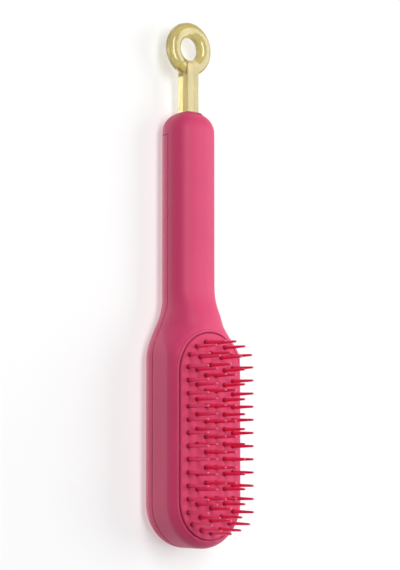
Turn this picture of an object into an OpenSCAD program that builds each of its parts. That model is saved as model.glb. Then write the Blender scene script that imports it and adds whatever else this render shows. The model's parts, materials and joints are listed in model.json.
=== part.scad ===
// Retracting bristle brush. Lies on its back: +Z is the way the bristles point,
// +Y runs along the handle to the pull ring, X is the width. Lengths are millimetres.

/* [Body] */
// Half width of the head
head_half_w = 21.3; // [20.8:0.1:26]
// Depth of the head, back to front
head_depth = 26.2; // [24:0.1:31]
// Radius of the head's back edge
head_back_r = 7.5; // [5:0.1:9]
// Radius of the head's front edge
head_front_r = 6; // [5:0.1:7]
// Distance from the middle of the bristle field to the centre of the head's round end
head_end_y = 29.8; // [28:0.1:36]
// Half width of the handle
handle_half_w = 12.4; // [11:0.1:15]
// Thickness of the handle
handle_t = 19.6; // [18.5:0.1:24]
// Corner radius of the handle's section
handle_r = 9; // [6:0.1:9.2]
// Where the handle starts to widen towards the head
flare_top = 65.5; // [62:0.5:72]
// Length over which it widens
flare_len = 28.5; // [24:0.5:30]
// Length over which the front rises from the handle to the head
rise_len = 24; // [20:0.5:24]
// Where the domed end of the handle starts
dome_y = 145; // [140:0.5:180]
// Length of the domed end
dome_len = 10.5; // [6:0.5:14]
// Wall thickness of the shells
wall = 2; // [1.5:0.1:2.4]

/* [Bristles] */
// Length of the bristles above the face plate
bristle_len = 14.8; // [10:0.1:15.5]
// Radius of a bristle at its root
bristle_root_r = 0.95; // [0.7:0.05:1]
// Radius of a bristle at its tip
bristle_tip_r = 0.5; // [0.3:0.05:0.6]
// Clearance round a bristle in its hole
bristle_gap = 0.15; // [0.1:0.05:0.25]
// Distance of the outer columns from the middle
outer_x = 13.3; // [12:0.1:13.6]
// Distance of the second columns from the middle
second_x = 8.2; // [7:0.1:9]
// Distance of the inner columns from the middle
inner_x = 3.05; // [3:0.05:4]
// Spacing along the outer columns
outer_pitch = 6.06; // [5:0.01:6.1]
// Spacing along the second columns
second_pitch = 6.87; // [5.5:0.01:6.9]
// Spacing along the inner columns
inner_pitch = 7.1; // [6:0.01:7.2]

/* [Face plate] */
// Half width of the face plate
face_half_w = 17.6; // [16.9:0.1:18]
// How far the face plate stands above the shell
face_proud = 0.4; // [0:0.1:1]
// Thickness of the face plate
face_t = 2.4; // [1.8:0.1:2.6]
// Gap round the face plate
face_gap = 0.15; // [0.1:0.05:0.3]

/* [Drive] */
// Travel of the pull ring
ring_travel = 16; // [10:0.5:16]
// Travel of the bristles
lift = 14; // [8:0.5:14]
// Radius of the cam pins
pin_r = 1; // [0.8:0.05:1.1]
// Radial clearance of a running or sliding fit
run_gap = 0.05; // [0.02:0.01:0.1]
// Clearance of parts that pass each other
free_gap = 0.3; // [0.2:0.05:0.4]
// Width of the pull rod
rod_w = 7; // [5:0.1:7.4]
// Thickness of the pull rod
rod_t = 7.4; // [6:0.1:7.8]
// Radius of the guide posts
post_r = 1.5; // [1:0.1:1.5]
// Width of the draw bar
bar_w = 8; // [6:0.1:8]
// Thickness of the draw bar
bar_t = 4; // [3:0.1:5]

/* [Ring] */
// Outer radius of the pull ring
ring_r = 12.95; // [11:0.05:16]
// Radius of the ring's hole
ring_hole_r = 5.45; // [4:0.05:6.5]
// Thickness of the ring
ring_t = 6; // [5:0.1:7]
// Gap left between the ring and the handle when the ring is pushed home
ring_stand_off = 1.5; // [1:0.1:5]

/* [Hidden] */
$fn = 48;
e = 0.01;

// Body
axis_z = handle_t / 2;
part_z = axis_z;
head_end = head_end_y + head_half_w;
dome_end = dome_y + dome_len;
floor_z = wall;
roof_z = head_depth - wall;
cover_end_y = dome_y - 1.4;
corner_steps = 6;
tip_cut = 0.04;
dome_power = 2.2;
dome_turn = 80;
rise_top = flare_top + 6.5;
neck_round = 7;
corner_relief = 2;
sharp_r = 0.5;

// Face plate, carrier and bristles
face_z = head_depth + face_proud;
face_low = head_end_y - 0.5;
face_high = head_end_y + 1.4;
flange_t = 0.8;
flange_out = face_half_w + 0.5;
flange_in = face_half_w - 1.1;
plate_low_z = face_z - face_t;
flange_low_z = roof_z - 0.2 - flange_t;
carrier_half_w = face_half_w - 2;
carrier_high = face_high + 0.4;
pad_t = 1;
carrier_t = 1;
pad_top_z = plate_low_z - free_gap;
pad_low_z = pad_top_z - pad_t;
carrier_low_z = pad_low_z - carrier_t;
bristle_top_z = face_z + bristle_len;

// Posts and bushes
lower_post_y = -24;
upper_post_y = 10;
bush_wall = 0.8;
bush_r = post_r + run_gap + bush_wall;
boss_wall = 0.9;
boss_r = bush_r + boss_wall;
boss_drop = 2.4;

// Cam
pin_z = carrier_low_z - pin_r - 0.1;
lower_pin_y = -15;
upper_pin_y = 18;
side_in = carrier_half_w + 0.4;
side_t = 1.3;
side_out = side_in + side_t;
side_low_y = lower_pin_y - pin_r - 1.5;
side_high_y = upper_pin_y + ring_travel + pin_r + 5;
side_top_z = flange_low_z - free_gap;
side_low_z = pin_z - lift - pin_r - 1.6;
bar_h = 1.9;
slider_low_z = carrier_low_z - boss_drop - lift - free_gap - bar_h;
tray_top_z = slider_low_z - free_gap;
tray_t = tray_top_z - floor_z;
tray_boss_h = bar_h + free_gap;
rib_in = side_out + free_gap;
rib_w = head_half_w - wall / 2 - rib_in;
rib_low_z = 5;
rib_at = [lower_pin_y + 9, upper_pin_y + 8];
stud_at = [[7, -37], [10, 12]];
tray_half_w = 12.3;
clip_t = 0.5;
clip_r = 1.8;
pin_end = side_out + free_gap + clip_t + 0.2;
slot_len = norm([ring_travel, lift]);
slot_turn = atan2(lift, ring_travel);

// Drive line
draw_z = axis_z;
fork_y = 64.5;
ear_w = 4;
ear_y = fork_y + 0.5;
ear_len = 6;
bar_pin_y = ear_y + ear_len / 2;
coupler_top_y = dome_y - 12;
coupler_len = 14;
coupler_wall = 1;
coupler_low_y = coupler_top_y - coupler_len;
coupler_half_w = rod_w / 2 + coupler_wall;
coupler_half_t = rod_t / 2 + coupler_wall + 0.2;
coupler_seat = 6.5;
bumper_t = 1.6;
bumper_half = [5.4, 5];
guide_half = [6.4, 6.6];
guide_foot = 3.2;
bar_guide_t = 3;
bar_guide_y = coupler_low_y - ring_travel - free_gap - bumper_t - bar_guide_t;
rod_guide_y = coupler_top_y + free_gap + bumper_t;
rod_guide_len = 8;
brake_wall = 1.1;
brake_y = rod_guide_y + 2.2;
brake_len = 3.6;
press_gap = 0.02;

// Ring
ring_y = dome_end + ring_travel + ring_stand_off + ring_r;
ring_inner_round = 2;
ring_outer_round = 2.8;

// Cover screws
screw_r = 1;
screw_head_r = 1.8;
screw_head_t = 1.4;
screw_len = 9;
screw_seat_z = 3.4;
screw_boss_r = 2.4;
screw_hole_gap = 0.1;
screw_x = coupler_half_w + free_gap + screw_boss_r + 0.2;
screw_at = [[9.5, flare_top - 11.5], [screw_x, bar_guide_y - 14], [screw_x, rod_guide_y - 8]];

// Colours
shell_colour = [0.80, 0.30, 0.45];
plate_colour = [0.86, 0.28, 0.42];
bristle_colour = [0.78, 0.08, 0.22];
ring_colour = [0.93, 0.83, 0.58];
resin_colour = [0.90, 0.90, 0.88];
steel_colour = [0.70, 0.71, 0.73];
silicone_colour = [0.35, 0.36, 0.38];

// Outline of the body ------------------------------------------------------------

function smooth(t) = let (c = max(0, min(1, t))) c * c * (3 - 2 * c);
function flare(y) = smooth((flare_top - y) / flare_len);
function rise(y) = smooth((rise_top - y) / rise_len);
function blend_to(a, b, t) = a + (b - a) * t;

// Places along Y where a section of the body stands, each as [y, scale, distance past the end's centre]
function end_places(r) = [for (q = [0 : 10 : 90]) let (d = (r - tip_cut) * cos(q)) [-head_end_y - d, 1, d]];
function flare_places() = let (foot = flare_top - flare_len)
    [for (i = [0 : 15]) [foot + (rise_top - foot) * i / 15, 1, 0]];
function dome_places(len) = [for (q = [0 : 10 : dome_turn])
    [dome_y + len * pow(sin(q) / sin(dome_turn), 2 / dome_power), pow(cos(q), 2 / dome_power), 0]];
function places(inset) = concat(end_places(head_half_w - inset), flare_places(),
                                dome_places(dome_len - inset));

// One corner of a section: angles from the flat to the side wall, as [inset, height] pairs.
// Past the centre of the round end the corner starts where the section still has width.
function corner(r, room) = let (first = asin(max(0, min(1, 1 - room / r))))
    [for (i = [0 : corner_steps]) let (a = first + (90 - first) * i / corner_steps)
        [r * (1 - sin(a)), r * (1 - cos(a))]];

// Radius of the front edges, which is largest midway down the neck
function front_r(f) = blend_to(handle_r, head_front_r, f) + neck_round * 4 * f * (1 - f);
function half_chord(r, d) = max(tip_cut, sqrt(max(0, r * r - d * d)));
function reversed(list) = [for (i = [len(list) - 1 : -1 : 0]) list[i]];

function section(place, inset) = let (
    y = place[0], s = place[1], d = place[2],
    w = (blend_to(handle_half_w, head_half_w, flare(y)) - inset) * s,
    top = blend_to(handle_t, head_depth, rise(y)) - inset,
    z0 = axis_z - (axis_z - inset) * s,
    z1 = axis_z + (top - axis_z) * s,
    low_r = (blend_to(handle_r, head_back_r, flare(y)) - inset) * s,
    high_r = max(sharp_r, front_r(flare(y)) - inset - (inset > 0 ? corner_relief * flare(y) : 0)) * s,
    low = [for (c = corner(low_r, w - d)) [half_chord(w - c[0], d), z0 + c[1]]],
    high = [for (c = reversed(corner(high_r, w - d))) [half_chord(w - c[0], d), z1 - c[1]]],
    right = concat(low, high))
    concat([for (p = right) [p[0], y, p[1]]], [for (p = reversed(right)) [-p[0], y, p[1]]]);

module body(inset) {
    rings = [for (p = places(inset)) section(p, inset)];
    n = len(rings[0]);
    m = len(rings);
    polyhedron(
        points = [for (r = rings) for (p = r) p],
        faces = concat(
            [[for (i = [n - 1 : -1 : 0]) i]],
            [for (j = [0 : m - 2]) for (i = [0 : n - 1]) let (k = (i + 1) % n)
                each [[j * n + i, (j + 1) * n + k, (j + 1) * n + i], [j * n + i, j * n + k, (j + 1) * n + k]]],
            [[for (i = [0 : n - 1]) (m - 1) * n + i]]));
}

module slab(z0, z1, y0, y1) {
    translate([-50, y0, z0]) cube([100, y1 - y0, z1 - z0]);
}

// Outline with straight sides and round ends, from -low to +high along Y
module stadium(half_w, low, high) {
    translate([0, -low]) circle(half_w);
    translate([0, high]) circle(half_w);
    translate([-half_w, -low]) square([2 * half_w, low + high]);
}

module bar_along_y(half_x, half_z, y0, y1, z) {
    translate([-half_x, y0, z - half_z]) cube([2 * half_x, y1 - y0, 2 * half_z]);
}

module rod_along_x(r, half_x, y, z) {
    translate([-half_x, y, z]) rotate([0, 90, 0]) cylinder(h = 2 * half_x, r = r);
}

module at_screws() {
    for (p = screw_at) for (side = [-1, 1]) translate([side * p[0], p[1], 0]) children();
}

// Places of the bristles ---------------------------------------------------------

function both(list) = concat(list, [for (p = list) [-p[0], p[1]]]);
function column(x, first, pitch, count) = [for (i = [0 : count - 1]) [x, first - i * pitch]];
BRISTLES = concat(
    both(column(outer_x, 32.7, outer_pitch, 12)),
    both(column(second_x, 31.6, second_pitch, 10)),
    both(column(inner_x, 29.1, inner_pitch, 9)),
    both([[outer_x - 0.8, 38.4], [second_x + 0.3, 42.3], [inner_x, 44.4]]),
    both([[6.4, 37.5], [6.4, -36.2], [5.7, -42.1], [11.05, -39.4]]),
    [for (y = [39.2, 33.9, -32.3, -37.8, -43.6]) [0, y]]);

// Housing ------------------------------------------------------------------------

// Front half of the body, with the domed end of the handle
module front_shell() {
    color(shell_colour) difference() {
        intersection() {
            body(0);
            union() {
                slab(part_z, 60, -80, dome_end + 5);
                slab(-5, part_z + 1, cover_end_y, dome_end + 5);
            }
        }
        difference() {
            body(wall);
            at_screws() cylinder(h = head_depth, r = screw_boss_r);
        }
        at_screws() cylinder(h = screw_seat_z + screw_len + 0.5, r = screw_r + press_gap);
        translate([0, 0, roof_z - 1])
            linear_extrude(wall + 2) stadium(face_half_w + face_gap, face_low, face_high);
        bar_along_y(rod_w / 2 + free_gap, rod_t / 2 + free_gap, dome_y + 2, dome_end + 5, axis_z);
    }
}

// Back half of the body, with screw bosses, slider ribs and tray studs
module rear_cover() {
    color(shell_colour) difference() {
        union() {
            difference() {
                intersection() {
                    body(0);
                    slab(-5, part_z, -80, cover_end_y);
                }
                difference() {
                    body(wall);
                    at_screws() cylinder(h = part_z, r = screw_boss_r);
                }
            }
            for (side = [-1, 1]) for (y = rib_at)
                translate([side * (rib_in + rib_w / 2) - rib_w / 2, y, rib_low_z])
                    cube([rib_w, 3, part_z - rib_low_z]);
            for (p = stud_at) for (side = [-1, 1])
                translate([side * p[0], p[1], floor_z - 0.5]) cylinder(h = tray_t + 0.7, r = screw_r);
        }
        at_screws() {
            translate([0, 0, -1]) cylinder(h = screw_seat_z + 1, r = screw_head_r + screw_hole_gap);
            cylinder(h = part_z + 1, r = screw_r + screw_hole_gap);
        }
    }
}

module face_ring(half_w) {
    difference() {
        stadium(half_w, face_low, face_high);
        stadium(flange_in, face_low, face_high);
    }
}

// Plate that the bristles come through
module face_plate() {
    color(plate_colour) difference() {
        union() {
            translate([0, 0, plate_low_z])
                linear_extrude(face_t) stadium(face_half_w, face_low, face_high);
            translate([0, 0, flange_low_z]) linear_extrude(flange_t) face_ring(flange_out);
            translate([0, 0, flange_low_z]) linear_extrude(face_z - flange_low_z) face_ring(face_half_w);
        }
        for (p = BRISTLES) translate([p[0], p[1], plate_low_z - 0.5])
            cylinder(h = face_t + 1, r = bristle_root_r + bristle_gap, $fn = 24);
    }
}

// Tray on the floor of the head that carries the posts
module chassis_tray() {
    color(resin_colour) difference() {
        union() {
            translate([0, 0, floor_z]) linear_extrude(tray_t) difference() {
                stadium(tray_half_w, head_end_y, 24);
                for (side = [-1, 1]) translate([side * 7, 2]) square([5, 9], center = true);
            }
            for (y = [lower_post_y, upper_post_y])
                translate([0, y, floor_z]) cylinder(h = tray_t + tray_boss_h, r = boss_r);
        }
        for (y = [lower_post_y, upper_post_y])
            translate([0, y, 0]) cylinder(h = 10, r = post_r + press_gap);
        for (p = stud_at) for (side = [-1, 1])
            translate([side * p[0], p[1], 0]) cylinder(h = 5, r = screw_r + screw_hole_gap);
    }
}

module guide_post(y) {
    color(steel_colour) translate([0, y, floor_z]) cylinder(h = plate_low_z - floor_z, r = post_r);
}

module lower_guide_post() {
    guide_post(lower_post_y);
}

module upper_guide_post() {
    guide_post(upper_post_y);
}

// Block that stands between floor and roof of the handle
module handle_block(y, len) {
    bar_along_y(guide_half[0], guide_half[1], y, y + len, axis_z);
    bar_along_y(guide_foot, axis_z - floor_z, y, y + len, axis_z);
}

// Bracket that keeps the draw bar straight
module bar_guide() {
    color(resin_colour) difference() {
        handle_block(bar_guide_y, bar_guide_t);
        bar_along_y(bar_w / 2 + 0.2, bar_t / 2 + 0.2, bar_guide_y - 1, bar_guide_y + bar_guide_t + 1, draw_z);
    }
}

// Block that guides the pull rod inside the end of the handle
module rod_guide() {
    color(resin_colour) difference() {
        handle_block(rod_guide_y, rod_guide_len);
        bar_along_y(rod_w / 2 + 0.2, rod_t / 2 + 0.2, rod_guide_y - 1, rod_guide_y + rod_guide_len + 1, axis_z);
        bar_along_y(rod_w / 2 + run_gap + brake_wall, rod_t / 2 + run_gap + brake_wall,
                    brake_y, brake_y + brake_len, axis_z);
    }
}

// Soft sleeve that holds the rod where it is put
module rod_brake() {
    color(silicone_colour) difference() {
        bar_along_y(rod_w / 2 + run_gap + brake_wall - press_gap, rod_t / 2 + run_gap + brake_wall - press_gap,
                    brake_y + press_gap, brake_y + brake_len - press_gap, axis_z);
        bar_along_y(rod_w / 2 + run_gap, rod_t / 2 + run_gap, brake_y - 1, brake_y + brake_len + 1, axis_z);
    }
}

module bumper(y, hole_x, hole_z) {
    color(silicone_colour) difference() {
        bar_along_y(bumper_half[0], bumper_half[1], y, y + bumper_t, axis_z);
        bar_along_y(hole_x, hole_z, y - 1, y + bumper_t + 1, axis_z);
    }
}

module lower_bumper() {
    bumper(bar_guide_y + bar_guide_t, bar_w / 2 + free_gap, bar_t / 2 + free_gap);
}

module upper_bumper() {
    bumper(rod_guide_y - bumper_t, rod_w / 2 + free_gap, rod_t / 2 + free_gap);
}

module cover_screws() {
    color(steel_colour) at_screws() difference() {
        union() {
            translate([0, 0, screw_seat_z - screw_head_t]) cylinder(h = screw_head_t, r = screw_head_r);
            translate([0, 0, screw_seat_z - e]) cylinder(h = screw_len, r = screw_r);
        }
        translate([0, 0, screw_seat_z - screw_head_t - 1]) cylinder(h = 1.8, r = 0.8, $fn = 6);
    }
}

// Bristle unit -------------------------------------------------------------------

module pin_lugs(y) {
    for (x = [-13.4, -6, 6, 13.4])
        translate([x - 1.1, y - pin_r - 1, pin_z - pin_r - 0.3])
            cube([2.2, 2 * pin_r + 2, carrier_low_z - pin_z + pin_r + 0.3 + e]);
}

// Plate that carries the bristles up and down the posts
module bristle_carrier() {
    color(resin_colour) difference() {
        union() {
            translate([0, 0, carrier_low_z])
                linear_extrude(carrier_t) stadium(carrier_half_w, head_end_y, carrier_high);
            for (y = [lower_post_y, upper_post_y])
                translate([0, y, carrier_low_z - boss_drop]) cylinder(h = boss_drop + e, r = boss_r);
            pin_lugs(lower_pin_y);
            pin_lugs(upper_pin_y);
        }
        for (y = [lower_post_y, upper_post_y])
            translate([0, y, carrier_low_z - boss_drop - 1]) cylinder(h = 8, r = bush_r + press_gap);
        for (y = [lower_pin_y, upper_pin_y]) rod_along_x(pin_r + press_gap, 20, y, pin_z);
    }
}

// Soft layer that the bristles grow from
module bristle_pad() {
    color(bristle_colour) translate([0, 0, pad_low_z]) linear_extrude(pad_t) difference() {
        stadium(carrier_half_w, head_end_y, carrier_high);
        for (y = [lower_post_y, upper_post_y]) translate([0, y]) circle(bush_r + press_gap);
    }
}

module bristle() {
    shank = bristle_top_z - pad_top_z - bristle_tip_r;
    cylinder(h = shank, r1 = bristle_root_r, r2 = bristle_tip_r, $fn = 24);
    translate([0, 0, shank]) sphere(bristle_tip_r, $fn = 24);
}

module bristles() {
    color(bristle_colour) for (p = BRISTLES) translate([p[0], p[1], pad_top_z]) bristle();
}

module post_bush(y) {
    color(resin_colour) translate([0, y, carrier_low_z - boss_drop]) difference() {
        cylinder(h = pad_top_z - carrier_low_z + boss_drop, r = bush_r);
        translate([0, 0, -1]) cylinder(h = 10, r = post_r + run_gap);
    }
}

module lower_post_bush() {
    post_bush(lower_post_y);
}

module upper_post_bush() {
    post_bush(upper_post_y);
}

module lower_cam_pin() {
    color(steel_colour) rod_along_x(pin_r, pin_end, lower_pin_y, pin_z);
}

module upper_cam_pin() {
    color(steel_colour) rod_along_x(pin_r, pin_end, upper_pin_y, pin_z);
}

// Rings that keep the cam pins from wandering sideways
module cam_pin_clips() {
    color(steel_colour) for (y = [lower_pin_y, upper_pin_y]) for (side = [-1, 1])
        translate([side * (side_out + free_gap + clip_t / 2), y, pin_z]) rotate([0, 90, 0]) difference() {
            cylinder(h = clip_t, r = clip_r, center = true);
            cylinder(h = 2, r = pin_r + press_gap, center = true);
        }
}

// Drive --------------------------------------------------------------------------

// Slanted slot that a cam pin runs in as the slider moves
module cam_slot(y) {
    slot_r = pin_r + run_gap;
    for (t = [0, 1]) rod_along_x(slot_r, 20, y + t * ring_travel, pin_z - t * lift);
    translate([0, y, pin_z]) rotate([-slot_turn, 0, 0])
        translate([-20, 0, -slot_r]) cube([40, slot_len, 2 * slot_r]);
}

module cam_slider() {
    color(resin_colour) {
        difference() {
            for (side = [-1, 1])
                translate([side * (side_in + side_t / 2) - side_t / 2, side_low_y, side_low_z])
                    cube([side_t, side_high_y - side_low_y, side_top_z - side_low_z]);
            cam_slot(lower_pin_y);
            cam_slot(upper_pin_y);
            translate([-20, 6.5, side_low_z + 3]) cube([40, 5.5, side_top_z - side_low_z - 6]);
        }
        for (y = [[-4, 4], [37.5, 41.5]])
            translate([-side_in - 0.3, y[0], slider_low_z]) cube([2 * side_in + 0.6, y[1] - y[0], bar_h]);
        translate([-bar_w / 2, 37.5, slider_low_z]) cube([bar_w, ear_y + ear_len - 37.5, bar_h]);
        difference() {
            translate([-ear_w / 2, ear_y, slider_low_z])
                cube([ear_w, ear_len, draw_z + bar_t / 2 + 0.6 - slider_low_z]);
            rod_along_x(pin_r + press_gap, 10, bar_pin_y, draw_z);
        }
    }
}

// Flat bar from the slider to the rod coupler
module draw_bar() {
    color(steel_colour) difference() {
        bar_along_y(bar_w / 2, bar_t / 2, fork_y, coupler_low_y + coupler_seat, draw_z);
        bar_along_y(ear_w / 2 + 0.15, bar_t, fork_y - 1, ear_y + ear_len + 0.5, draw_z);
        rod_along_x(pin_r + press_gap, 10, bar_pin_y, draw_z);
        rod_along_x(pin_r + press_gap, 10, coupler_low_y + coupler_seat / 2, draw_z);
    }
}

module bar_pin() {
    color(steel_colour) rod_along_x(pin_r, bar_w / 2 + 0.3, bar_pin_y, draw_z);
}

// Block that joins the draw bar to the pull rod
module rod_coupler() {
    color(resin_colour) difference() {
        bar_along_y(coupler_half_w, coupler_half_t, coupler_low_y, coupler_top_y, axis_z);
        bar_along_y(bar_w / 2 + press_gap, bar_t / 2 + press_gap,
                    coupler_low_y - 1, coupler_low_y + coupler_seat, draw_z);
        bar_along_y(rod_w / 2 + press_gap, rod_t / 2 + press_gap,
                    coupler_top_y - coupler_seat, coupler_top_y + 1, axis_z);
        for (y = [coupler_low_y + coupler_seat / 2, coupler_top_y - coupler_seat / 2])
            rod_along_x(pin_r + press_gap, 10, y, axis_z);
    }
}

module coupler_pins() {
    color(steel_colour) for (y = [coupler_low_y + coupler_seat / 2, coupler_top_y - coupler_seat / 2])
        rod_along_x(pin_r, coupler_half_w, y, axis_z);
}

// Section of the ring, at its distance from the ring's axis
module ring_section() {
    half = ring_t / 2;
    translate([ring_hole_r, -half + ring_inner_round])
        square([ring_r - ring_hole_r - ring_outer_round, 2 * (half - ring_inner_round)]);
    translate([ring_hole_r + ring_inner_round, -half])
        square([ring_r - ring_hole_r - ring_inner_round - ring_outer_round, ring_t]);
    translate([ring_r - ring_outer_round - 1, -half + ring_outer_round])
        square([ring_outer_round + 1, 2 * (half - ring_outer_round)]);
    for (side = [-1, 1]) {
        translate([ring_hole_r + ring_inner_round, side * (half - ring_inner_round)]) circle(ring_inner_round);
        translate([ring_r - ring_outer_round, side * (half - ring_outer_round)]) circle(ring_outer_round);
    }
}

// Rod and ring in one moulding
module pull_rod() {
    color(ring_colour) difference() {
        union() {
            bar_along_y(rod_w / 2, rod_t / 2, coupler_top_y - coupler_seat, ring_y - ring_hole_r - 0.8, axis_z);
            translate([0, ring_y, axis_z]) rotate_extrude() ring_section();
        }
        rod_along_x(pin_r + press_gap, 10, coupler_top_y - coupler_seat / 2, axis_z);
    }
}

front_shell();
rear_cover();
face_plate();
chassis_tray();
lower_guide_post();
upper_guide_post();
bar_guide();
rod_guide();
rod_brake();
lower_bumper();
upper_bumper();
cover_screws();
bristle_carrier();
bristle_pad();
bristles();
lower_post_bush();
upper_post_bush();
lower_cam_pin();
upper_cam_pin();
cam_pin_clips();
cam_slider();
draw_bar();
bar_pin();
rod_coupler();
coupler_pins();
pull_rod();
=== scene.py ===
"""Looks of a brush whose bristles draw back into its head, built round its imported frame.

One operator makes each piece. Lengths are metres in the frame's axes: +Z is the way the bristles
point, +Y runs along the handle to the ring, and X is the width.
"""

import json
import math
from collections import namedtuple

import bmesh
import bpy
from bmesh.types import BMEdge, BMVert
from bpy.props import FloatProperty, FloatVectorProperty, IntProperty, PointerProperty
from bpy.types import Operator, Panel, PropertyGroup
from mathutils import Matrix, Vector


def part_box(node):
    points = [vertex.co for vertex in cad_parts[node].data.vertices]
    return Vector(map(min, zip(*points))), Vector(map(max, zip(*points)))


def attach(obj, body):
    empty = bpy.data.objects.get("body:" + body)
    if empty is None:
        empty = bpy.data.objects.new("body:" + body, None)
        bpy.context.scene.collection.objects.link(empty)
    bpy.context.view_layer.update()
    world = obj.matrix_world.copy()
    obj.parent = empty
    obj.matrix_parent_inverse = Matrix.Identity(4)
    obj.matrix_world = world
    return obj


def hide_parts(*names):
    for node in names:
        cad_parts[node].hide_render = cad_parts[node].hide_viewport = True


bl_info = {
    "name": "Retracting bristle brush",
    "version": (1, 0, 0),
    "blender": (4, 5, 0),
    "location": "3D View > Sidebar > Brush",
    "description": "Makes the shells, face plate, bristles, pull rod and screws of a brush",
    "category": "Object",
}

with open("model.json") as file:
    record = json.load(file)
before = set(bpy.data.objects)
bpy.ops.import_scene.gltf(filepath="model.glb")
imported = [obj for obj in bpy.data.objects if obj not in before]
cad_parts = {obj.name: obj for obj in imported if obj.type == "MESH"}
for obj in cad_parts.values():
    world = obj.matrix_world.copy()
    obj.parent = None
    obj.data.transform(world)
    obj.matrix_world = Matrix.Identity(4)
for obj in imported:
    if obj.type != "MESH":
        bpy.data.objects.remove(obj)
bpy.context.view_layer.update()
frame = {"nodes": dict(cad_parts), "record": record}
MM = 0.001
QUARTER = math.pi / 2

SHELL_LOW, SHELL_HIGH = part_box("front_shell")
COVER_LOW, COVER_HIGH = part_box("rear_cover")
PLATE_LOW, PLATE_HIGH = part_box("face_plate")
BRISTLES_LOW, BRISTLES_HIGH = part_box("bristles")
ROD_LOW, ROD_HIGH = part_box("pull_rod")
AXIS_Z = COVER_HIGH.z
WELD = 2e-6


# Sizes and colours --------------------------------------------------------------


def length(name, description, default, low=0.0):
    return FloatProperty(name=name, description=description, default=default, min=low, unit="LENGTH")


def colour(name, description, default):
    return FloatVectorProperty(
        name=name, description=description, default=default, size=3, min=0.0, max=1.0, subtype="COLOR"
    )


class BodySizes(PropertyGroup):
    """The outline of the two shells"""

    head_half_width: length("Head half width", "Half the width of the head", SHELL_HIGH.x)
    head_depth: length("Head depth", "Depth of the head, back to front", SHELL_HIGH.z)
    head_back_radius: length("Head back radius", "Radius of the head's back edge", 7.5 * MM)
    head_front_radius: length("Head front radius", "Radius of the head's front edge", 6 * MM)
    handle_half_width: length("Handle half width", "Half the width of the handle", 12.4 * MM)
    handle_radius: length("Handle radius", "Corner radius of the handle", 9 * MM)
    flare_top: length("Flare top", "Where the handle starts to widen", 65.5 * MM)
    flare_length: length("Flare length", "Length over which the handle widens", 28.5 * MM)
    rise_top: length("Rise top", "Where the front starts to rise towards the head", 72 * MM)
    rise_length: length("Rise length", "Length over which the front rises to the head", 24 * MM)
    neck_round: length("Neck round", "Extra radius of the front edges midway down the neck", 7 * MM)
    dome_length: length("Dome length", "Length of the handle's domed end", 10.5 * MM)
    wall: length("Wall", "Thickness of the shells", 1.8 * MM)
    seam: length("Seam", "Rounding where the two shells meet", 0.3 * MM)
    seam_gap: length("Seam gap", "Gap between the two shells", 0.02 * MM)
    lip_width: length("Lip width", "Width of the bead round the face plate", 1.5 * MM)
    lip_height: length("Lip height", "Height of the bead round the face plate", 0.32 * MM)


class PlateSizes(PropertyGroup):
    """The face plate and its bristles"""

    half_width: length("Half width", "Half the width of the face plate", 17.6 * MM)
    thickness: length("Thickness", "Thickness of the face plate", 2.4 * MM)
    gap: length("Gap", "Gap round the face plate", 0.45 * MM)
    shoulder: length("Shoulder", "Depth of the shoulder that closes the gap", 1.5 * MM)
    edge: length("Edge", "Rounding of the plate's edge", 0.6 * MM)
    hole_radius: length("Hole radius", "Radius of the bristles' holes", 1.1 * MM)
    hole_edge: length("Hole edge", "Rounding of the holes", 0.16 * MM)
    root_radius: length("Root radius", "Radius of a bristle at its root", 0.95 * MM)
    tip_radius: length("Tip radius", "Radius of a bristle at its tip", 0.52 * MM)
    bristle_sides: IntProperty(name="Sides", description="Faces round a bristle", default=16, min=8)


class RodSizes(PropertyGroup):
    """The pull rod, its ring and its hole in the handle"""

    half_width: length("Half width", "Half the width of the rod", 3.5 * MM)
    half_thickness: length("Half thickness", "Half the thickness of the rod", 3.7 * MM)
    rod_edge: length("Rod edge", "Rounding of the rod's edges", 0.55 * MM)
    clearance: length("Clearance", "Gap round the rod in the handle", 0.3 * MM)
    hole_radius: length("Ring hole radius", "Radius of the ring's hole", 5.45 * MM)
    ring_thickness: length("Ring thickness", "Thickness of the ring", 6 * MM)


class Colours(PropertyGroup):
    """The colours of the pieces"""

    shell: colour("Shell", "Soft-touch raspberry pink", (0.600, 0.048, 0.140))
    plate: colour("Face plate", "Pink of the face plate", (0.600, 0.042, 0.130))
    bristle: colour("Bristle", "Crimson of the bristles", (0.930, 0.045, 0.165))
    ring: colour("Ring", "Clear pale yellow", (0.650, 0.550, 0.220))
    steel: colour("Steel", "Bright zinc", (0.560, 0.570, 0.590))
    resin: colour("Resin", "Natural white moulding resin", (0.780, 0.780, 0.750))
    silicone: colour("Silicone", "Grey silicone", (0.110, 0.115, 0.125))
    floor: colour("Floor", "Pale floor", (0.480, 0.480, 0.480))


class BrushSettings(PropertyGroup):
    """Everything that a user may change"""

    body: PointerProperty(type=BodySizes)
    plate: PointerProperty(type=PlateSizes)
    rod: PointerProperty(type=RodSizes)
    colours: PointerProperty(type=Colours)


def settings():
    return bpy.context.scene.brush_settings


# Materials ----------------------------------------------------------------------


def new_material(name):
    """A material with its node tree, its shader and object coordinates."""
    made = bpy.data.materials.new(name)
    made.use_nodes = True
    tree = made.node_tree
    place = tree.nodes.new("ShaderNodeTexCoord")
    return made, tree, tree.nodes["Principled BSDF"], place.outputs["Object"]


def noise(tree, place, scale, detail=2.0, roughness=0.5):
    made = tree.nodes.new("ShaderNodeTexNoise")
    made.inputs["Scale"].default_value = scale
    made.inputs["Detail"].default_value = detail
    made.inputs["Roughness"].default_value = roughness
    tree.links.new(place, made.inputs["Vector"])
    return made.outputs["Fac"]


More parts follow.
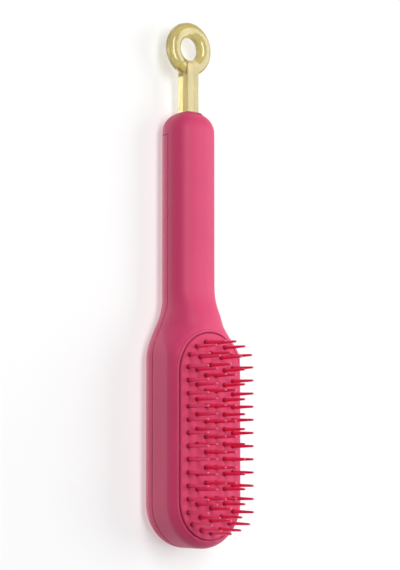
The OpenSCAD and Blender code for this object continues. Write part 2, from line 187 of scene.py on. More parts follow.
def spread(tree, value, low, high):
    """Stretches the middle of a noise to run from low to high."""
    made = tree.nodes.new("ShaderNodeMapRange")
    made.inputs["From Min"].default_value = 0.3
    made.inputs["From Max"].default_value = 0.7
    made.inputs["To Min"].default_value = low
    made.inputs["To Max"].default_value = high
    tree.links.new(value, made.inputs["Value"])
    return made.outputs["Result"]


def shades(tree, value, dark, light):
    """A colour between two shades, by a value from 0 to 1."""
    made = tree.nodes.new("ShaderNodeMix")
    made.data_type = "RGBA"
    made.inputs["A"].default_value = (*dark, 1)
    made.inputs["B"].default_value = (*light, 1)
    tree.links.new(value, made.inputs["Factor"])
    return made.outputs["Result"]


def dimmed(shade, by):
    return tuple(min(1.0, part * by) for part in shade)


def bump(tree, shader, height, distance):
    made = tree.nodes.new("ShaderNodeBump")
    made.inputs["Distance"].default_value = distance
    made.inputs["Strength"].default_value = 1.0
    tree.links.new(height, made.inputs["Height"])
    tree.links.new(made.outputs["Normal"], shader.inputs["Normal"])


def soft_touch(name, shade, cloud_scale, grain_scale, grain_depth, roughness):
    """Painted soft-touch finish: faint clouds in the colour and a fine grain."""
    made, tree, shader, place = new_material(name)
    clouds = noise(tree, place, cloud_scale, 3.0)
    grain = noise(tree, place, grain_scale, 4.0, 0.6)
    tone = shades(tree, spread(tree, clouds, 0.0, 1.0), dimmed(shade, 0.95), dimmed(shade, 1.05))
    tree.links.new(tone, shader.inputs["Base Color"])
    tree.links.new(spread(tree, grain, roughness - 0.06, roughness + 0.06), shader.inputs["Roughness"])
    bump(tree, shader, grain, grain_depth)
    shader.inputs["Specular IOR Level"].default_value = 0.25
    shader.inputs["Sheen Weight"].default_value = 0.22
    shader.inputs["Sheen Roughness"].default_value = 0.45
    shader.inputs["Sheen Tint"].default_value = (1.0, 0.6, 0.74, 1)
    return made


def height_between(tree, height, low, high):
    """How far a height is from low to high, from 0 to 1."""
    made = tree.nodes.new("ShaderNodeMapRange")
    made.inputs["From Min"].default_value = low
    made.inputs["From Max"].default_value = high
    tree.links.new(height, made.inputs["Value"])
    return made.outputs["Result"]


def nylon(name, shade, low_z, high_z):
    """Glossy dyed nylon, with painted shade darkening the root and a painted highlight making the tips
    pale.
    """
    made, tree, shader, place = new_material(name)
    split = tree.nodes.new("ShaderNodeSeparateXYZ")
    tree.links.new(place, split.inputs["Vector"])
    # Painted shade: the colour darkens to half towards the root, over the lowest 2.8 mm.
    rise = height_between(tree, split.outputs["Z"], low_z, low_z + 2.8 * MM)
    # Painted highlight: the tips fade to pale pink over their last 0.9 mm.
    tip_highlight = height_between(tree, split.outputs["Z"], high_z - 0.9 * MM, high_z - 0.3 * MM)
    tone = shades(tree, rise, dimmed(shade, 0.5), shade)
    # Mixes the painted pale pink highlight over the tips.
    tips = tree.nodes.new("ShaderNodeMix")
    tips.data_type = "RGBA"
    tips.inputs["B"].default_value = (0.9, 0.16, 0.24, 1)
    tree.links.new(tone, tips.inputs["A"])
    tree.links.new(tip_highlight, tips.inputs["Factor"])
    tree.links.new(tips.outputs["Result"], shader.inputs["Base Color"])
    streaks = noise(tree, place, 900, 2.0)
    tree.links.new(spread(tree, streaks, 0.34, 0.44), shader.inputs["Roughness"])
    bump(tree, shader, streaks, 0.01 * MM)
    shader.inputs["Specular IOR Level"].default_value = 0.3
    shader.inputs["Subsurface Weight"].default_value = 0.4
    shader.inputs["Subsurface Radius"].default_value = (1.0, 0.15, 0.2)
    shader.inputs["Subsurface Scale"].default_value = 0.6 * MM
    shader.inputs["Coat Weight"].default_value = 0.15
    shader.inputs["Coat Roughness"].default_value = 0.2
    return made


def clear_plastic(name, shade):
    """Polished clear plastic with faint flow lines."""
    made, tree, shader, place = new_material(name)
    flow = noise(tree, place, 120, 3.0)
    tone = shades(tree, spread(tree, flow, 0.0, 1.0), dimmed(shade, 0.97), dimmed(shade, 1.02))
    tree.links.new(tone, shader.inputs["Base Color"])
    tree.links.new(spread(tree, flow, 0.05, 0.1), shader.inputs["Roughness"])
    bump(tree, shader, flow, 0.03 * MM)
    shader.inputs["IOR"].default_value = 1.49
    shader.inputs["Transmission Weight"].default_value = 0.68
    shader.inputs["Coat Weight"].default_value = 0.3
    shader.inputs["Coat Roughness"].default_value = 0.04
    return made


def metal(name, shade):
    """Zinc-plated steel with fine drawing marks."""
    made, tree, shader, place = new_material(name)
    stretch = tree.nodes.new("ShaderNodeMapping")
    stretch.inputs["Scale"].default_value = (1, 1, 12)
    tree.links.new(place, stretch.inputs["Vector"])
    marks = noise(tree, stretch.outputs["Vector"], 700, 3.0)
    tone = shades(tree, spread(tree, marks, 0.0, 1.0), dimmed(shade, 0.88), dimmed(shade, 1.08))
    tree.links.new(tone, shader.inputs["Base Color"])
    tree.links.new(spread(tree, marks, 0.22, 0.4), shader.inputs["Roughness"])
    bump(tree, shader, marks, 0.01 * MM)
    shader.inputs["Metallic"].default_value = 1.0
    return made


def moulded(name, shade, roughness, grain_scale):
    """Moulded resin or rubber with a fine matt grain."""
    made, tree, shader, place = new_material(name)
    clouds = noise(tree, place, 90, 3.0)
    grain = noise(tree, place, grain_scale, 3.0, 0.6)
    tone = shades(tree, spread(tree, clouds, 0.0, 1.0), dimmed(shade, 0.92), dimmed(shade, 1.04))
    tree.links.new(tone, shader.inputs["Base Color"])
    tree.links.new(spread(tree, grain, roughness - 0.08, roughness + 0.08), shader.inputs["Roughness"])
    bump(tree, shader, grain, 0.03 * MM)
    return made


# Making and finishing a piece ---------------------------------------------------


def only(kind, parts):
    """The vertices or edges among what a mesh operation gave back."""
    return [part for part in parts if isinstance(part, kind)]


def turn_outwards(bm):
    """Points every face away from the middle of the piece."""
    bmesh.ops.recalc_face_normals(bm, faces=bm.faces)
    middle = sum((face.calc_center_median() for face in bm.faces), Vector()) / len(bm.faces)
    outward = sum(
        face.calc_area() * face.normal.dot(face.calc_center_median() - middle) for face in bm.faces
    )
    if outward < 0:
        bmesh.ops.reverse_faces(bm, faces=bm.faces)


def finish_piece(name, bm, body, material, stands_for):
    """Makes the object, shades it smooth, gives it its material, ties it to its body, and hides the CAD
    node that it stands for.
    """
    mesh = bpy.data.meshes.new(name)
    bm.to_mesh(mesh)
    bm.free()
    mesh.polygons.foreach_set("use_smooth", [True] * len(mesh.polygons))
    mesh.materials.append(material)
    piece = bpy.data.objects.new(name, mesh)
    bpy.context.scene.collection.objects.link(piece)
    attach(piece, body)
    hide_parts(stands_for)
    return piece


def weigh_normals(piece):
    """Keeps flat faces flat next to their rounded edges."""
    made = piece.modifiers.new("Normals", "WEIGHTED_NORMAL")
    made.mode = "FACE_AREA"
    made.weight = 80
    made.keep_sharp = False


def combine(piece, cutter, operation):
    """Joins the cutter to the piece, or takes it away, and removes the cutter."""
    made = piece.modifiers.new("Combine", "BOOLEAN")
    made.operation = operation
    made.solver = "EXACT"
    made.object = cutter
    bpy.context.view_layer.update()
    seen = piece.evaluated_get(bpy.context.evaluated_depsgraph_get())
    mesh = bpy.data.meshes.new_from_object(seen)
    piece.modifiers.remove(made)
    old = piece.data
    piece.data = mesh
    mesh.name = old.name
    bpy.data.meshes.remove(old)
    bpy.data.objects.remove(cutter)


def plain_object(name, bm):
    mesh = bpy.data.meshes.new(name)
    bm.to_mesh(mesh)
    bm.free()
    made = bpy.data.objects.new(name, mesh)
    bpy.context.scene.collection.objects.link(made)
    return made


def half_turn(bm, start, centre_y, steps):
    """Spins a vertex half a turn about an upright axis, and gives the vertex it ends at."""
    made = bmesh.ops.spin(
        bm, geom=[start], cent=(0, centre_y, start.co.z), axis=(0, 0, 1), angle=math.pi, steps=steps
    )
    return only(BMVert, made["geom_last"])[0]


def stadium(bm, half_width, low, high, z, steps=24):
    """Edges, in order, of a loop with straight sides and round ends, centred on x = 0."""
    first = bm.verts.new((half_width, high, z))
    down = bmesh.ops.extrude_vert_indiv(bm, verts=[half_turn(bm, first, high, steps)])
    corner = down["verts"][0]
    corner.co = (-half_width, low, z)
    bm.edges.new((half_turn(bm, corner, low, steps), first))
    edges, here = [], first
    while True:
        ahead = [edge for edge in here.link_edges if edge not in edges]
        if not ahead:
            return edges
        edges.append(ahead[0])
        here = ahead[0].other_vert(here)


def chain_along(bm, points):
    """Edges from each point to the next, and their vertices in order."""
    verts, edges = [bm.verts.new(points[0])], []
    for point in points[1:]:
        ahead = bmesh.ops.extrude_vert_indiv(bm, verts=[verts[-1]])
        ahead["verts"][0].co = point
        verts += ahead["verts"]
        edges += ahead["edges"]
    return verts, edges


def full_turn(bm, geom, x, y, steps):
    """Spins an outline once round an upright axis and closes it."""
    bmesh.ops.spin(
        bm, geom=geom, cent=(x, y, 0), axis=(0, 0, 1), angle=2 * math.pi, steps=steps, use_merge=True
    )
    bmesh.ops.remove_doubles(bm, verts=bm.verts, dist=WELD)
    bmesh.ops.recalc_face_normals(bm, faces=bm.faces)


def lathe(bm, x, y, outline, steps):
    """Turns an outline of (radius, z) about an upright axis."""
    verts, edges = chain_along(bm, [(x + r, y, z) for r, z in outline])
    full_turn(bm, verts + edges, x, y, steps)


def post(bm, x, y, low, high, sides):
    """Adds a closed post between two ends, each given as (radius, z)."""
    (low_r, low_z), (high_r, high_z) = low, high
    made = bmesh.ops.create_cone(
        bm, cap_ends=True, segments=sides, radius1=low_r, radius2=high_r, depth=high_z - low_z
    )
    bmesh.ops.translate(bm, verts=made["verts"], vec=(x, y, (low_z + high_z) / 2))


def bridged(bm, loops):
    """Joins each loop to the next."""
    for one, other in zip(loops, loops[1:]):
        bmesh.ops.bridge_loops(bm, edges=one + other)


def fill(bm, edges):
    """Faces between an outer loop and the loops inside it."""
    bmesh.ops.triangle_fill(bm, use_beauty=True, use_dissolve=False, edges=edges)


def islands(node):
    """Lowest and highest corner of each separate solid of a CAD node."""
    bm = bmesh.new()
    bm.from_mesh(frame["nodes"][node].data)
    bmesh.ops.remove_doubles(bm, verts=bm.verts, dist=WELD)
    left = set(bm.verts)
    found = []
    while left:
        reached, waiting = set(), [left.pop()]
        while waiting:
            vert = waiting.pop()
            reached.add(vert)
            for edge in vert.link_edges:
                other = edge.other_vert(vert)
                if other in left:
                    left.discard(other)
                    waiting.append(other)
        low = Vector([min(vert.co[i] for vert in reached) for i in range(3)])
        high = Vector([max(vert.co[i] for vert in reached) for i in range(3)])
        found.append((low, high))
    bm.free()
    return sorted(found, key=lambda box: (round(box[0].y, 5), round(box[0].x, 5)))


def places_of(node):
    """Middle, across and along, of each separate solid of a CAD node."""
    return [((low.x + high.x) / 2, (low.y + high.y) / 2) for low, high in islands(node)]


# The two shells -----------------------------------------------------------------

Section = namedtuple("Section", "half_w low_z high_z low_r high_r seam crown")
# Points on each run of half a section, and round a quarter of the head's end.
SIDE_STEPS = 5
CORNER_STEPS = 22
FLAT_STEPS = 6
ROUND_STEPS = 28
# Part of a rounding where the point between its two ends stands.
SOFTENED = 0.3
# Reach of a crown across and down its half of the section, and how far it is fuller than a circle.
CROWN_WIDTH = 0.98
CROWN_DEPTH = 0.93
CROWN_FULLNESS = 0.55


def smooth(t):
    t = min(1.0, max(0.0, t))
    return t * t * (3 - 2 * t)


def between(low, high, t):
    return low + (high - low) * t


def body_section(y, seam):
    """The body's section at y, for the head, the flare and the straight handle."""
    body = settings().body
    flare = smooth((body.flare_top - y) / body.flare_length)
    rise = smooth((body.rise_top - y) / body.rise_length)
    front_r = between(body.handle_radius, body.head_front_radius, flare)
    return Section(
        between(body.handle_half_width, body.head_half_width, flare),
        0.0,
        between(2 * AXIS_Z, body.head_depth, rise),
        between(body.handle_radius, body.head_back_radius, flare),
        front_r + body.neck_round * 4 * flare * (1 - flare),
        seam,
        smooth(1 - 2 * flare),
    )


def shrunk(section, by):
    """The section drawn in on all sides, for a rounded end."""
    return section._replace(
        half_w=section.half_w - by,
        low_z=section.low_z + by,
        high_z=section.high_z - by,
        low_r=section.low_r - by,
        high_r=section.high_r - by,
    )


def scaled(section, by):
    """The section scaled about the handle's axis."""
    return Section(
        section.half_w * by,
        AXIS_Z - (AXIS_Z - section.low_z) * by,
        AXIS_Z + (section.high_z - AXIS_Z) * by,
        section.low_r * by,
        section.high_r * by,
        0.0,
        section.crown,
    )


def half_path(section, upper):
    """Points of half a section as (x, z), from the parting line to the middle.

    A crowned section swells to its middle, and one without a crown has round corners and a flat.
    """
    side = 1 if upper else -1
    far = section.high_z if upper else section.low_z
    r = section.high_r if upper else section.low_r
    w = section.half_w
    r_x = between(r, w * CROWN_WIDTH, section.crown)
    r_z = between(r, abs(far - AXIS_Z) * CROWN_DEPTH, section.crown)
    power = 2 / (2 + CROWN_FULLNESS * section.crown)
    start = AXIS_Z if upper else AXIS_Z - (settings().body.seam_gap if section.seam else 0)
    path = [
        (w - section.seam, start),
        (w - section.seam * SOFTENED, start + side * section.seam * SOFTENED),
        (w, start + side * section.seam),
    ]
    shoulder = far - side * r_z
    for i in range(1, SIDE_STEPS + 1):
        path.append((w, between(start + side * section.seam, shoulder, i / SIDE_STEPS)))
    for i in range(1, CORNER_STEPS + 1):
        a = QUARTER * i / CORNER_STEPS
        x, z = max(0.0, math.cos(a)) ** power, math.sin(a) ** power
        path.append((w - r_x + r_x * x, shoulder + side * r_z * z))
    for i in range(1, FLAT_STEPS + 1):
        path.append(((w - r_x) * (1 - i / FLAT_STEPS), far))
    return path


def evenly(start, end, pitch):
    """Places after start, up to and with end, at about that pitch."""
    count = max(1, round((end - start) / pitch))
    return [between(start, end, i / count) for i in range(1, count + 1)]


def start_path(bm, layer, path, y):
    """The first half section, as a chain of edges whose vertices carry their step."""
    verts, edges = chain_along(bm, [(x, y, z) for x, z in path])
    for step, vert in enumerate(verts):
        vert[layer] = step
    return edges


def pull(bm, layer, chain, y, path):
    """Extrudes the chain to the next section."""
    made = bmesh.ops.extrude_edge_only(bm, edges=chain)
    for vert in only(BMVert, made["geom"]):
        x, z = path[vert[layer]]
        vert.co = (x, y, z)
    edges = only(BMEdge, made["geom"])
    return [edge for edge in edges if all(abs(vert.co.y - y) < WELD for vert in edge.verts)]


DOME_POWER = 2 / 2.2
DOME_LAST_TURN = math.radians(80)
DOME_TURNS = range(4, 61, 4)
# Rounded mouth of the rod's hole: how far it stands off the hole, and back from the end, in mm.
MOUTH = ((0.9, 0.5), (0.45, 0.3), (0.15, 0.36), (0.0, 0.55), (0.0, 1.6))
MOUTH_CORNER = 0.9


def dome_stations():
    """Sections of the handle's end, from the cover's edge to the rod's hole."""
    body, rod = settings().body, settings().rod
    cover_end = COVER_HIGH.y
    start = SHELL_HIGH.y - body.dome_length
    stations = [(cover_end + body.seam, body_section(cover_end, 0.0)), (start, body_section(start, 0.0))]
    for degrees in DOME_TURNS:
        turn = math.radians(degrees)
        y = start + body.dome_length * (math.sin(turn) / math.sin(DOME_LAST_TURN)) ** DOME_POWER
        stations.append((y, scaled(body_section(start, 0.0), math.cos(turn) ** DOME_POWER)))
    half_w = rod.half_width + rod.clearance
    half_t = rod.half_thickness + rod.clearance
    for grow, back in MOUTH:
        w, t, r = half_w + grow * MM, half_t + grow * MM, (MOUTH_CORNER + grow) * MM
        stations.append((SHELL_HIGH.y - back * MM, Section(w, AXIS_Z - t, AXIS_Z + t, r, r, 0.0, 0.0)))
    return stations


# Distance between sections.
HEAD_PITCH = 6 * MM
NECK_PITCH = 0.9 * MM
HANDLE_PITCH = 5 * MM


def flare_stations(body, end):
    """Places along the head and handle where a section stands."""
    head_end = SHELL_LOW.y + body.head_half_width
    foot = body.flare_top - body.flare_length
    top = body.rise_top - body.rise_length
    return (
        evenly(head_end, foot, HEAD_PITCH)
        + evenly(foot, top, NECK_PITCH)
        + evenly(top, body.rise_top, NECK_PITCH)
        + evenly(body.rise_top, end, HANDLE_PITCH)
    )


def mirrored(bm):
    """The other half, welded along the middle."""
    bmesh.ops.remove_doubles(bm, verts=bm.verts, dist=WELD)
    bmesh.ops.mirror(bm, geom=bm.verts[:] + bm.edges[:] + bm.faces[:], axis="X", merge_dist=WELD)
    bmesh.ops.remove_doubles(bm, verts=bm.verts, dist=WELD)
    bmesh.ops.dissolve_degenerate(bm, edges=bm.edges, dist=WELD)


def round_end(bm, chain, end_y):
    """Spins the chain a quarter turn round the centre of the head's end."""
    verts = list({vert for edge in chain for vert in edge.verts})
    bmesh.ops.spin(
        bm, geom=verts + chain, cent=(0, end_y, 0), axis=(0, 0, 1), angle=-QUARTER, steps=ROUND_STEPS
    )


def front_height(x, y):
    """Height of the front surface at a place on the head or neck."""
    section = body_section(y, 0.0)
    out = abs(x)
    head_end = SHELL_LOW.y + settings().body.head_half_width
    if y < head_end:
        out = math.hypot(x, y - head_end)
    over = max(0.0, out - (section.half_w - section.high_r))
    return section.high_z - section.high_r + math.sqrt(max(0.0, section.high_r**2 - over**2))


LIP_SIDES = 14
LIP_HALF_DEPTH = 0.5 * MM
END_STEPS = 32
# Low and high end of the opening's cutter, from the face plate's top.
OPENING_REACH = (-6 * MM, 2 * MM)


def lip(bm, body, plate):
    """A soft bead round the opening, which follows the front surface."""
    low, high = plate_centres(plate)
    middle = plate.half_width + plate.gap + body.lip_width / 2
    loops = []
    for k in range(LIP_SIDES):
        turn = 2 * math.pi * k / LIP_SIDES
        edges = stadium(bm, middle + math.cos(turn) * body.lip_width / 2, low, high, 0, END_STEPS)
        rise = body.lip_height + (math.sin(turn) - 1) * LIP_HALF_DEPTH
        for vert in {vert for edge in edges for vert in edge.verts}:
            vert.co.z = front_height(vert.co.x, vert.co.y) + rise
        loops.append(edges)
    bridged(bm, loops + loops[:1])


def opening(bm, plate):
    """Cutter for the opening that the face plate stands in."""
    low, high = plate_centres(plate)
    wide = plate.half_width + plate.gap
    loops = [stadium(bm, wide, low, high, PLATE_HIGH.z + z, END_STEPS) for z in OPENING_REACH]
    bridged(bm, loops)
    for loop in loops:
        fill(bm, loop)
    bmesh.ops.recalc_face_normals(bm, faces=bm.faces)


# How far the plate's lower round end is centred above that of the head.
PLATE_END_SHIFT = 0.5 * MM


def plate_centres(plate):
    """Centres of the face plate's two round ends, along Y."""
    low = SHELL_LOW.y + settings().body.head_half_width + PLATE_END_SHIFT
    return low, PLATE_HIGH.y - PLATE_HIGH.x


def thicken_and_cut(piece, wall, cutter):
    """Gives a surface its wall, and takes the cutter away from it."""
    thicken = piece.modifiers.new("Wall", "SOLIDIFY")
    thicken.thickness = wall
    thicken.offset = -1
    combine(piece, cutter, "DIFFERENCE")
    piece.modifiers.remove(thicken)
    weigh_normals(piece)


def shell_to(end, upper):
    """One shell's head and handle up to a place: its mesh, its step layer and its last chain."""
    body = settings().body
    bm = bmesh.new()
    layer = bm.verts.layers.int.new("step")
    head_end = SHELL_LOW.y + body.head_half_width
    chain = start_path(bm, layer, half_path(body_section(head_end, body.seam), upper), head_end)
    round_end(bm, chain, head_end)
    for y in flare_stations(body, end):
        chain = pull(bm, layer, chain, y, half_path(body_section(y, body.seam), upper))
    return bm, layer, chain


class BRUSH_OT_front_shell(Operator):
    """Make the front shell, with the opening for the face plate and the domed end"""

    bl_idname = "brush.front_shell"
    bl_label = "Front Shell"

    def execute(self, context):
        body, plate = settings().body, settings().plate
        cover_end = COVER_HIGH.y
        bm, layer, chain = shell_to(cover_end, True)
        for y, section in dome_stations():
            chain = pull(bm, layer, chain, y, half_path(section, True))
        end = body_section(cover_end, 0.0)
        chain = start_path(bm, layer, half_path(shrunk(end, body.seam), False), cover_end)
        softened = half_path(shrunk(end, SOFTENED * body.seam), False)
        chain = pull(bm, layer, chain, cover_end + SOFTENED * body.seam, softened)
        for y, section in dome_stations():
            chain = pull(bm, layer, chain, y, half_path(section, False))
        mirrored(bm)
        turn_outwards(bm)
        material = soft_touch("shell_pink", settings().colours.shell, 22, 3500, 0.02 * MM, 0.5)
        piece = finish_piece("front_shell_moulding", bm, "housing", material, "front_shell")
        cutter = bmesh.new()
        opening(cutter, plate)
        thicken_and_cut(piece, body.wall, plain_object("opening_cutter", cutter))
        bead = bmesh.new()
        lip(bead, body, plate)
        bmesh.ops.recalc_face_normals(bead, faces=bead.faces)
        finish_piece("face_lip", bead, "housing", material, "front_shell")
        return {"FINISHED"}


class BRUSH_OT_rear_cover(Operator):
    """Make the rear cover, with its screw recesses"""

    bl_idname = "brush.rear_cover"
    bl_label = "Rear Cover"

    def execute(self, context):
        body = settings().body
        cover_end = COVER_HIGH.y - body.seam_gap
        bm, layer, chain = shell_to(cover_end - body.seam, False)
        for inset in (SOFTENED, 1.0):
            y = cover_end - body.seam * (1 - inset)
            section = shrunk(body_section(cover_end, body.seam), inset * body.seam)
            chain = pull(bm, layer, chain, y, half_path(section, False))
        mirrored(bm)
        turn_outwards(bm)
        material = soft_touch("cover_pink", settings().colours.shell, 22, 3500, 0.02 * MM, 0.5)
        piece = finish_piece("rear_cover_moulding", bm, "housing", material, "rear_cover")
        cutter = bmesh.new()
        for x, y in places_of("cover_screws"):
            post(cutter, x, y, (RECESS_R, -RECESS_PAST), (RECESS_R, SCREW_SEAT_Z), SCREW_STEPS)
        thicken_and_cut(piece, body.wall, plain_object("recess_cutter", cutter))
        return {"FINISHED"}


# Screws -------------------------------------------------------------------------

SCREW_SEAT_Z = 3.4 * MM
SCREW_STEPS = 40
RECESS_R = 1.92 * MM
RECESS_PAST = 2 * MM
SCREW_TOP_Z = SCREW_SEAT_Z - 1.4 * MM
# Pan head, shank and tip, as radius and height over the head's top, in mm.
SCREW_OUTLINE = (
    (0.0, 0.0),
    (0.35, 0.0),
    (0.8, 0.03),
    (1.2, 0.12),
    (1.5, 0.3),
    (1.72, 0.58),
    (1.8, 0.85),
    (1.8, 1.4),
    (1.0, 1.4),
    (1.0, 9.0),
    (0.3, 10.0),
    (0.0, 10.2),
)
SOCKET_SIDES = 6
SOCKET_LOW = (0.8 * MM, SCREW_SEAT_Z - 2.5 * MM)
SOCKET_HIGH = (0.75 * MM, SCREW_SEAT_Z - 0.5 * MM)


class BRUSH_OT_cover_screws(Operator):
    """Make the six cover screws"""

    bl_idname = "brush.cover_screws"
    bl_label = "Cover Screws"

    def execute(self, context):
        bm, cutter = bmesh.new(), bmesh.new()
        outline = [(r * MM, SCREW_TOP_Z + rise * MM) for r, rise in SCREW_OUTLINE]
        for x, y in places_of("cover_screws"):
            lathe(bm, x, y, outline, SCREW_STEPS)
            post(cutter, x, y, SOCKET_LOW, SOCKET_HIGH, SOCKET_SIDES)
        material = metal("screw_steel", settings().colours.steel)
        piece = finish_piece("cover_screw_set", bm, "housing", material, "cover_screws")
        combine(piece, plain_object("socket_cutter", cutter), "DIFFERENCE")
        weigh_normals(piece)
        return {"FINISHED"}


# Face plate and bristles --------------------------------------------------------

# Rounded edges, from the face down to the side: inset and drop, as parts of the radius.
PLATE_ROUNDING = ((1.0, 0.0), (0.62, 0.08), (0.29, 0.29), (0.08, 0.62), (0.0, 1.0))
HOLE_ROUNDING = ((1.0, 0.0), (0.29, 0.29), (0.0, 1.0))
HOLE_STEPS = 22
SHOULDER_GAP = 0.02 * MM


def circle(bm, x, y, r, z):
    """Edges of a level circle for a bristle's hole."""
    made = bmesh.ops.create_circle(bm, cap_ends=False, segments=HOLE_STEPS, radius=r)
    bmesh.ops.translate(bm, verts=made["verts"], vec=(x, y, z))
    return list({edge for vert in made["verts"] for edge in vert.link_edges})


class BRUSH_OT_face_plate(Operator):
    """Make the face plate with a hole for each bristle"""

    bl_idname = "brush.face_plate"
    bl_label = "Face Plate"

    def execute(self, context):
        plate = settings().plate
        low, high = plate_centres(plate)
        top, base = PLATE_HIGH.z, PLATE_HIGH.z - plate.thickness
        bm = bmesh.new()
        rims = [
            stadium(bm, plate.half_width - inset * plate.edge, low, high, top - drop * plate.edge)
            for inset, drop in PLATE_ROUNDING
        ]
        shoulder_half_w = plate.half_width + plate.gap - SHOULDER_GAP
        rims.append(stadium(bm, plate.half_width, low, high, top - plate.shoulder))
        rims.append(stadium(bm, shoulder_half_w, low, high, top - plate.shoulder))
        rims.append(stadium(bm, shoulder_half_w, low, high, base))
        bridged(bm, rims)
        top_loops, base_loops = rims[0], rims[-1]
        for x, y in places_of("bristles"):
            holes = [
                circle(bm, x, y, plate.hole_radius + grow * plate.hole_edge, top - drop * plate.hole_edge)
                for grow, drop in HOLE_ROUNDING
            ]
            holes.append(circle(bm, x, y, plate.hole_radius, base))
            bridged(bm, holes)
            top_loops += holes[0]
            base_loops += holes[-1]
        fill(bm, top_loops)
        fill(bm, base_loops)
        bmesh.ops.recalc_face_normals(bm, faces=bm.faces)
        material = soft_touch("face_plate_pink", settings().colours.plate, 60, 1800, 0.05 * MM, 0.55)
        piece = finish_piece("face_plate_moulding", bm, "housing", material, "face_plate")
        weigh_normals(piece)
        return {"FINISHED"}


# Parts of the way up a bristle: where its straight root ends, and its radius above that.
ROOT_LENGTH = 0.16
BRISTLE_TAPER = ((0.45, 0.8 * MM), (0.75, 0.64 * MM))
BRISTLE_TIP_TURNS = (0, 25, 50, 72, 90)


class BRUSH_OT_bristles(Operator):
    """Make the bristles"""

    bl_idname = "brush.bristles"
    bl_label = "Bristles"

    def execute(self, context):
        plate = settings().plate
        root, tip = BRISTLES_LOW.z, BRISTLES_HIGH.z
        reach, end_r = tip - root, plate.tip_radius
        straight = ((0.0, plate.root_radius), (ROOT_LENGTH, plate.root_radius))
        outline = [(0.0, root)]
        outline += [(r, root + up * reach) for up, r in (*straight, *BRISTLE_TAPER)]
        for degrees in BRISTLE_TIP_TURNS:
            turn = math.radians(degrees)
            outline.append((end_r * math.cos(turn), tip - end_r * (1 - math.sin(turn))))
        bm = bmesh.new()
        lathe(bm, 0, 0, outline, plate.bristle_sides)
        places = places_of("bristles")
        whole = bm.verts[:] + bm.edges[:] + bm.faces[:]
        for x, y in places[1:]:
            copy = bmesh.ops.duplicate(bm, geom=whole)
            bmesh.ops.translate(bm, verts=only(BMVert, copy["geom"]), vec=(x, y, 0))
        first = only(BMVert, whole)
        bmesh.ops.translate(bm, verts=first, vec=(*places[0], 0))
        material = nylon("bristle_nylon", settings().colours.bristle, PLATE_HIGH.z, tip)
        finish_piece("bristle_set", bm, "bristle_unit", material, "bristles")
        return {"FINISHED"}


# Pull rod -----------------------------------------------------------------------

RING_OVERLAP = 0.8 * MM
RING_SIDES = 40
RING_STEPS = 96
# Below 1, the ring's section is fuller than an ellipse.
RING_POWER = 0.92


class BRUSH_OT_pull_rod(Operator):
    """Make the pull rod and its ring"""

    bl_idname = "brush.pull_rod"
    bl_label = "Pull Rod"

    def execute(self, context):
        rod = settings().rod
        centre_y = ROD_HIGH.y - ROD_HIGH.x
        top = centre_y - rod.hole_radius - RING_OVERLAP
        bm = bmesh.new()
        bar = bmesh.ops.create_cube(bm, size=1.0)
        shape = Matrix.Translation((0, (ROD_LOW.y + top) / 2, AXIS_Z)) @ Matrix.Diagonal(
            (2 * rod.half_width, top - ROD_LOW.y, 2 * rod.half_thickness, 1)
        )
        bmesh.ops.transform(bm, matrix=shape, verts=bar["verts"])
        bmesh.ops.bevel(
            bm, geom=bm.edges[:], offset=rod.rod_edge, segments=4, profile=0.5, affect="EDGES", material=-1
        )
        material = clear_plastic("clear_yellow", settings().colours.ring)
        piece = finish_piece("pull_rod_moulding", bm, "drive", material, "pull_rod")
        ring = bmesh.new()
        middle = (ROD_HIGH.x + rod.hole_radius) / 2
        half_w, half_t = (ROD_HIGH.x - rod.hole_radius) / 2, rod.ring_thickness / 2
        bmesh.ops.create_circle(ring, cap_ends=False, segments=RING_SIDES, radius=1.0)
        for vert in ring.verts:
            x, y = vert.co.x, vert.co.y
            vert.co = (
                middle + half_w * math.copysign(abs(x) ** RING_POWER, x),
                centre_y,
                AXIS_Z + half_t * math.copysign(abs(y) ** RING_POWER, y),
            )
        full_turn(ring, ring.verts[:] + ring.edges[:], 0, centre_y, RING_STEPS)
        combine(piece, plain_object("ring_shape", ring), "UNION")
        piece.data.polygons.foreach_set("use_smooth", [True] * len(piece.data.polygons))
        weigh_normals(piece)
        return {"FINISHED"}


# Parts inside the body ----------------------------------------------------------


class BRUSH_OT_inner_parts(Operator):
    """Give the parts inside the body their finishes"""

    bl_idname = "brush.inner_parts"
    bl_label = "Inner Parts"

    def execute(self, context):
        colours = settings().colours
        finishes = {
            "steel": metal("drawn_steel", colours.steel),
            "resin": moulded("white_resin", colours.resin, 0.45, 2500),
            "silicone": moulded("grey_silicone", colours.silicone, 0.6, 1600),
            "bristle": moulded("pad_crimson", colours.bristle, 0.5, 1600),
        }
        for row in frame["record"]["subparts"]:
            node = frame["nodes"][row["node"]]
            if node.hide_render:
                continue
            node.data.materials.clear()
            node.data.materials.append(finishes[row["material_slot"]])
        return {"FINISHED"}


# Stage --------------------------------------------------------------------------

AIM = Vector((7.1, 72.9, 9.8)) * MM
CAMERA_DISTANCE = 0.8813
CAMERA_AZIMUTH = math.radians(-81.65)
CAMERA_ELEVATION = math.radians(50.68)
LENS = 116.84
FLOOR_HALF = 3.0
FLOOR_DROP = 0.1 * MM
# Name, place, width and height, and power of each lamp.
LAMPS = (
    ("key", (0.85, 0.15, 0.62), (0.85, 1.0), 9.6),
    ("overhead", (-0.16, 0.3, 1.0), (0.35, 0.9), 9.0),
    ("under_rim", (-0.2, 0.05, -0.85), (0.15, 0.9), 3.0),
)
LAMP_AIM = Vector((0, 60, 0)) * MM


def looking(forward, up_hint):
    """Rotation of a camera or lamp that looks along forward."""
    right = forward.cross(up_hint).normalized()
    up = right.cross(forward)
    return Matrix((right, up, -forward)).transposed().to_4x4()


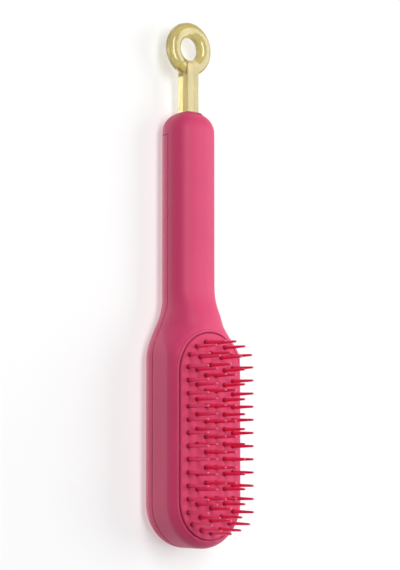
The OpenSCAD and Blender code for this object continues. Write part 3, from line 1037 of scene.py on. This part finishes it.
def add_lamp(name, place, size, energy):
    lamp = bpy.data.lights.new(name, "AREA")
    lamp.shape = "RECTANGLE"
    lamp.size, lamp.size_y = size
    lamp.energy = energy
    made = bpy.data.objects.new(name, lamp)
    forward = (LAMP_AIM - place).normalized()
    made.matrix_world = Matrix.Translation(place) @ looking(forward, Vector((0, 1, 0)))
    bpy.context.scene.collection.objects.link(made)


def studio_world():
    """A dim room that looks pale behind the object and through clear parts."""
    world = bpy.data.worlds.new("studio")
    world.use_nodes = True
    tree = world.node_tree
    path = tree.nodes.new("ShaderNodeLightPath")
    seen = tree.nodes.new("ShaderNodeMath")
    seen.operation = "MAXIMUM"
    tree.links.new(path.outputs["Is Camera Ray"], seen.inputs[0])
    tree.links.new(path.outputs["Is Transmission Ray"], seen.inputs[1])
    strength = tree.nodes.new("ShaderNodeMapRange")
    strength.inputs["To Min"].default_value = 0.05
    strength.inputs["To Max"].default_value = 0.9
    tree.links.new(seen.outputs["Value"], strength.inputs["Value"])
    background = tree.nodes["Background"]
    background.inputs["Color"].default_value = (1, 1, 1, 1)
    tree.links.new(strength.outputs["Result"], background.inputs["Strength"])
    return world


class BRUSH_OT_stage(Operator):
    """Make the floor, the lights and the camera"""

    bl_idname = "brush.stage"
    bl_label = "Stage"

    def execute(self, context):
        scene = bpy.context.scene
        bm = bmesh.new()
        grid = bmesh.ops.create_grid(bm, x_segments=1, y_segments=1, size=FLOOR_HALF)
        bmesh.ops.translate(bm, verts=grid["verts"], vec=(0, 0, -FLOOR_DROP))
        floor = plain_object("floor", bm)
        made, tree, shader, place = new_material("pale_floor")
        shade = settings().colours.floor
        tone = shades(tree, spread(tree, noise(tree, place, 6), 0.0, 1.0), dimmed(shade, 0.99), shade)
        tree.links.new(tone, shader.inputs["Base Color"])
        shader.inputs["Emission Color"].default_value = (1, 1, 1, 1)
        shader.inputs["Emission Strength"].default_value = 0.48
        shader.inputs["Roughness"].default_value = 0.9
        shader.inputs["Specular IOR Level"].default_value = 0.1
        floor.data.materials.append(made)
        floor.visible_shadow = False

        scene.world = studio_world()
        scene.view_settings.view_transform = "Standard"

        for name, spot, size, energy in LAMPS:
            add_lamp(name, Vector(spot), size, energy)

        forward = -Vector(
            (
                math.sin(CAMERA_AZIMUTH) * math.cos(CAMERA_ELEVATION),
                -math.cos(CAMERA_AZIMUTH) * math.cos(CAMERA_ELEVATION),
                math.sin(CAMERA_ELEVATION),
            )
        )
        lens = bpy.data.cameras.new("camera")
        lens.lens = LENS
        lens.sensor_width = 36
        lens.clip_start, lens.clip_end = 0.01, 20
        camera = bpy.data.objects.new("camera", lens)
        place = AIM - forward * CAMERA_DISTANCE
        camera.matrix_world = Matrix.Translation(place) @ looking(forward, Vector((0, 1, 0)))
        scene.collection.objects.link(camera)
        scene.camera = camera
        return {"FINISHED"}


# Panel and registration ---------------------------------------------------------


class BRUSH_PT_pieces(Panel):
    """Lists the brush's pieces"""

    bl_label = "Brush"
    bl_idname = "BRUSH_PT_pieces"
    bl_space_type = "VIEW_3D"
    bl_region_type = "UI"
    bl_category = "Brush"

    def draw(self, context):
        for operator in PIECES:
            self.layout.operator(operator.bl_idname)


PIECES = (
    BRUSH_OT_front_shell,
    BRUSH_OT_rear_cover,
    BRUSH_OT_face_plate,
    BRUSH_OT_bristles,
    BRUSH_OT_pull_rod,
    BRUSH_OT_cover_screws,
    BRUSH_OT_inner_parts,
    BRUSH_OT_stage,
)
CLASSES = (BodySizes, PlateSizes, RodSizes, Colours, BrushSettings, *PIECES, BRUSH_PT_pieces)


def register():
    for made in CLASSES:
        bpy.utils.register_class(made)
    bpy.types.Scene.brush_settings = PointerProperty(type=BrushSettings)


def unregister():
    del bpy.types.Scene.brush_settings
    for made in reversed(CLASSES):
        bpy.utils.unregister_class(made)


def main():
    register()
    for piece in PIECES:
        group, name = piece.bl_idname.split(".")
        getattr(getattr(bpy.ops, group), name)()
    bpy.context.view_layer.update()


if __name__ == "__main__":
    main()
